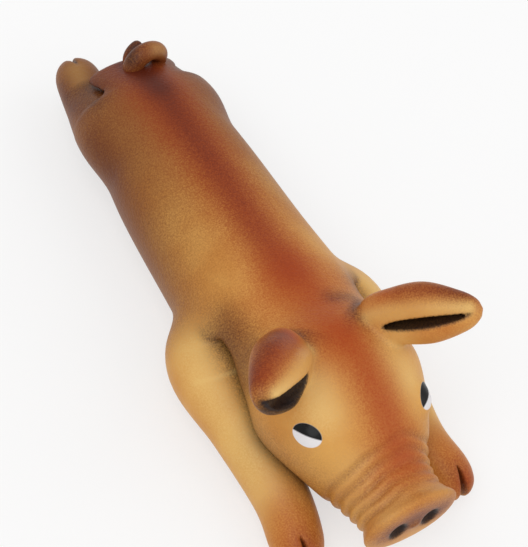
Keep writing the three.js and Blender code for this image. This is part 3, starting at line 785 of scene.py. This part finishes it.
def math_node(tree, operation, *values):
    return node(tree, "ShaderNodeMath", dict(enumerate(values)), operation=operation).outputs[0]


def ramp(tree, value, low, high):
    """A socket that goes from 0 to 1 as a value goes from low to high."""
    inputs = {"Value": value, "From Min": low, "From Max": high}
    return node(tree, "ShaderNodeMapRange", inputs).outputs["Result"]


def mixed(tree, factor, below, above):
    made = node(tree, "ShaderNodeMix", {0: factor, 6: below, 7: above}, data_type="RGBA")
    return made.outputs[2]


def noise(tree, inputs):
    return node(tree, "ShaderNodeTexNoise", inputs).outputs["Fac"]


def new_material(name):
    """A material, its node tree and its shader."""
    made = bpy.data.materials.new(name)
    made.use_nodes = True
    tree = made.node_tree
    return made, tree, tree.nodes["Principled BSDF"]


def colour(code):
    """A colour as written in hex, for a socket."""
    channels = [int(code[k : k + 2], 16) / 255 for k in (0, 2, 4)]
    return [c / 12.92 if c <= 0.04045 else ((c + 0.055) / 1.055) ** 2.4 for c in channels] + [1]


def eye_masks(tree, rest):
    """Sockets that are 1 on the eyes, and 1 on their black part."""
    eye, black = 0.0, 0.0
    for centre, along, down in EYE_PAINT.values():
        arm = node(tree, "ShaderNodeVectorMath", {0: rest, 1: centre}, operation="SUBTRACT").outputs[0]
        inward = np.cross(along, down)
        inward *= EYE_DEPTH / np.linalg.norm(inward)
        u, v, w = (
            node(tree, "ShaderNodeVectorMath", {0: arm, 1: axis}, operation="DOT_PRODUCT").outputs["Value"]
            for axis in np.linalg.inv([along, down, inward]).T
        )
        squares = math_node(tree, "MULTIPLY", u, u)
        for k in (v, w):
            squares = math_node(tree, "MULTIPLY_ADD", k, k, squares)
        inside = ramp(tree, squares, *EYE_EDGE)
        upper = ramp(tree, math_node(tree, "MULTIPLY_ADD", u, -EYE_SLANT, v), *BLACK_EDGE)
        eye = math_node(tree, "ADD", inside, eye)
        black = math_node(tree, "MULTIPLY_ADD", inside, upper, black)
    return eye, black


def latex():
    """The painted skin: latex, paints and painted shade with stippled edges, glossy eyes and a faint grain.
    """
    made, tree, shader = new_material("airbrushed_latex")
    rest = node(tree, "ShaderNodeAttribute", attribute_name="rest").outputs["Vector"]
    grain, stipple, clouds = (noise(tree, {"Vector": rest, **kind}) for kind in (GRAIN, STIPPLE, CLOUDS))
    spread = math_node(tree, "MULTIPLY_ADD", stipple, STIPPLE_SPREAD, -STIPPLE_SPREAD / 2)
    tint = mixed(tree, ramp(tree, clouds, *CLOUD_RANGE), colour(LATEX), colour(LATEX_SHADE))
    for paint, code in PAINTS.items():
        mask = node(tree, "ShaderNodeAttribute", attribute_name=paint).outputs["Fac"]
        partly = math_node(tree, "MULTIPLY", mask, math_node(tree, "SUBTRACT", 1.0, mask))
        tint = mixed(tree, math_node(tree, "MULTIPLY_ADD", partly, spread, mask), tint, colour(code))
    eye, black = eye_masks(tree, rest)
    tint = mixed(tree, eye, tint, colour(EYE_WHITE))
    tint = mixed(tree, black, tint, colour(EYE_BLACK))
    tree.links.new(tint, shader.inputs["Base Color"])
    rough = node(tree, "ShaderNodeMapRange", {"Value": eye, "To Min": SATIN, "To Max": GLOSS})
    tree.links.new(rough.outputs["Result"], shader.inputs["Roughness"])
    shader.inputs["Specular IOR Level"].default_value = SKIN_SPECULAR
    height = math_node(tree, "MULTIPLY", grain, math_node(tree, "SUBTRACT", 1.0, eye))
    bump = node(tree, "ShaderNodeBump", {"Height": height, **GRAIN_BUMP})
    tree.links.new(bump.outputs["Normal"], shader.inputs["Normal"])
    return made


def plain(name, code, roughness, metallic=0.0):
    """Material of the squeaker's pieces: one colour with a faint moulded grain."""
    made, tree, shader = new_material(name)
    shade = [MOULDED_SHADE * c for c in colour(code)[:3]] + [1]
    tree.links.new(mixed(tree, noise(tree, MOULDED), colour(code), shade), shader.inputs["Base Color"])
    shader.inputs["Roughness"].default_value = roughness
    shader.inputs["Metallic"].default_value = metallic
    return made


# Making of the pieces


def bend(kind, cut_place, toward, side=LEFT):
    """Points where a piece starts to follow its own body, and where it wholly does."""
    x, z, end = BENDS[kind]
    return ((side * x, cut_place + toward * far, z) for far in (BEND_START, end))


def rides():
    """For each piece of skin: its two bodies, and where it starts and ends to follow the second."""
    press = ((0, PRESS["y"], PRESS[level]) for level in ("bottom", "top"))
    table = {
        "torso_skin": ("torso", "back", *press),
        "head_skin": ("torso", "head", *bend("head_skin", NECK_CUT, -1)),
    }
    root, along, _, _ = ear_frame()
    for name, side in (("left", LEFT), ("right", RIGHT)):
        for kind, (cut_place, toward) in LEG_CUTS.items():
            leg = f"{name}_{kind}"
            table[leg] = ("torso", leg, *bend(kind, cut_place, toward, side))
        ear = f"{name}_ear"
        ends = (root + along * (EAR_CUT + far) for far in (BEND_START, EAR_BEND))
        table[ear] = ("head", ear, *(tuple(end * [side, 1, 1]) for end in ends))
    return table


def press_only(made):
    """Keeps the squeeze of the back to its oval."""
    mesh = made.data
    places = np.empty(3 * len(mesh.vertices), np.float32)
    mesh.vertices.foreach_get("co", places)
    x, y, _ = places.reshape(-1, 3).T / MM
    oval = np.sqrt((x / PRESS["half_width"]) ** 2 + ((y - PRESS["y"]) / PRESS["half_length"]) ** 2)
    weights = np.empty(len(x), np.float32)
    mesh.attributes["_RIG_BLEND"].data.foreach_get("value", weights)
    weights *= smoothstep(*PRESS["fade"], oval)
    mesh.attributes["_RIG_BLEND"].data.foreach_set("value", weights)


def make_skin(material):
    """The skin apart from the tail, as pieces that bend past their cuts."""
    grid = Grid(SKIN_LOW, SKIN_HIGH, VOXEL)
    whole, trunk, limbs, carved = skin_fields(grid)
    points, quads, normals = skin_of(whole, grid)
    places = (points - grid.low) / grid.step
    names = piece_names(points, quads, places, trunk, limbs)
    paint = skin_paint(points, places, trunk, limbs, carved)
    for name, (still, moving, start, end) in rides().items():
        wall = THIN_WALL if name.endswith("ear") else SKIN_WALL
        walls = walls_in(whole, places, normals, grid.step, wall)
        made = shell(name + ".latex", points, normals, quads[names == name], walls, paint)
        made.data.materials.append(material)
        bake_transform(made, still, moving, *(tuple(MM * c for c in place) for place in (start, end)))
        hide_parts(name)
        if moving == "back":
            press_only(made)
            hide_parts("back_skin")


def make_tail(material):
    """The curled tail, whose root sits in the rump."""
    rows = tail_rows()
    grid = Grid(*reach(rows, TAIL_MARGIN), TAIL_VOXEL)
    field = tube(grid, rows, STEPS["tail"])
    points, quads, normals = skin_of(field, grid)
    walls = walls_in(field, (points - grid.low) / grid.step, normals, grid.step, THIN_WALL)
    made = shell("tail.latex", points, normals, quads, walls, sprayed(points, TAIL_STROKES))
    made.data.materials.append(material)
    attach(made, "tail")
    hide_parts("tail")


def finish_squeaker():
    """Materials of the squeaker, which is kept as it was designed."""
    plastic = plain("squeaker_plastic", "E6E2D8", 0.55)
    brass = plain("reed_brass", "C9A35A", 0.3, 1.0)
    for name in ("squeaker_barrel", "reed_block", "reed_wedge", "reed"):
        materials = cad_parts[name].data.materials
        materials.clear()
        materials.append(brass if name == "reed" else plastic)


# Camera and studio

# The photo's view: angles in degrees, distance and aim in mm, focal length and image height in pixels
CAMERA_TURN = {"azimuth": -40.716, "elevation": 53.893, "roll": 13.929}
CAMERA_DISTANCE, CAMERA_AIM = 564.53, (7.136, -8.157, 24.062)
FOCAL, IMAGE_HEIGHT = 1480, 547
SENSOR = 36
CLIP = (0.01, 20)  # metres

# Lamps: direction that the light comes from, and strength
LAMPS = {"key": ((-0.5, -0.2, 1.0), 1.0), "fill": ((0.7, -0.6, 0.7), 0.5)}
LAMP_ANGLE = 50
WORLD_LIGHT = 0.6
FLOOR = {"half": 4, "drop": 0.0002, "grey": 0.93, "roughness": 0.9}  # metres
FLOOR_WHITE = 0.6  # share of plain white that is seen in the floor


def camera():
    """The camera at the photo's viewing angle."""
    azimuth, elevation, roll = (math.radians(angle) for angle in CAMERA_TURN.values())
    outward = math.cos(elevation)
    back = Vector((math.sin(azimuth) * outward, -math.cos(azimuth) * outward, math.sin(elevation)))
    level = (-back).cross(Vector((0, 0, 1))).normalized()
    above = level.cross(-back)
    right = math.cos(roll) * level + math.sin(roll) * above
    up = math.cos(roll) * above - math.sin(roll) * level
    data = bpy.data.cameras.new("camera")
    data.sensor_width = SENSOR
    data.lens = SENSOR * (FOCAL / IMAGE_HEIGHT)
    data.clip_start, data.clip_end = CLIP
    made = placed("camera", data)
    turn = Matrix((right, up, back)).transposed().to_4x4()
    made.matrix_world = Matrix.Translation((Vector(CAMERA_AIM) + back * CAMERA_DISTANCE) * MM) @ turn
    bpy.context.scene.camera = made


def lamp(name, direction, strength):
    """A broad, soft light that is even over the whole floor."""
    data = bpy.data.lights.new(name, "SUN")
    data.angle = math.radians(LAMP_ANGLE)
    data.energy = strength
    made = placed(name, data)
    made.rotation_euler = (-Vector(direction)).to_track_quat("-Z", "Y").to_euler()


def seen(tree):
    """1 for what the camera sees, also through a reflection or glass."""
    path = node(tree, "ShaderNodeLightPath").outputs
    either = math_node(tree, "MAXIMUM", path["Is Camera Ray"], path["Is Glossy Ray"])
    return math_node(tree, "MAXIMUM", either, path["Is Transmission Ray"])


def floor_paper():
    """Pale paper that is seen as nearly white and keeps the toy's shadow."""
    made, tree, shader = new_material("floor_paper")
    shader.inputs["Base Color"].default_value = (*[FLOOR["grey"]] * 3, 1)
    shader.inputs["Roughness"].default_value = FLOOR["roughness"]
    glow = node(tree, "ShaderNodeEmission").outputs["Emission"]
    share = math_node(tree, "MULTIPLY", seen(tree), FLOOR_WHITE)
    mix = node(tree, "ShaderNodeMixShader", {0: share, 1: shader.outputs["BSDF"], 2: glow})
    tree.links.new(mix.outputs["Shader"], tree.nodes["Material Output"].inputs["Surface"])
    return made


def white_world():
    """A world that is seen as white and lights the toy at a plainer level."""
    world = bpy.data.worlds.new("studio")
    bpy.context.scene.world = world
    world.use_nodes = True
    tree = world.node_tree
    strength = node(tree, "ShaderNodeMapRange", {"Value": seen(tree), "To Min": WORLD_LIGHT, "To Max": 1.0})
    tree.links.new(strength.outputs["Result"], tree.nodes["Background"].inputs["Strength"])
    tree.nodes["Background"].inputs["Color"].default_value = (1, 1, 1, 1)


def studio():
    """The floor, the world and the lamps."""
    half = FLOOR["half"]
    mesh = bpy.data.meshes.new("floor")
    corners = [(-half, -half, 0), (half, -half, 0), (half, half, 0), (-half, half, 0)]
    mesh.from_pydata(corners, [], [(0, 1, 2, 3)])
    mesh.materials.append(floor_paper())
    floor = placed("floor", mesh)
    floor.location.z = -FLOOR["drop"]
    white_world()
    for name, (direction, strength) in LAMPS.items():
        lamp(name, direction, strength)
    bpy.context.scene.view_settings.view_transform = "Standard"


skin = latex()
make_skin(skin)
make_tail(skin)
finish_squeaker()
camera()
studio()
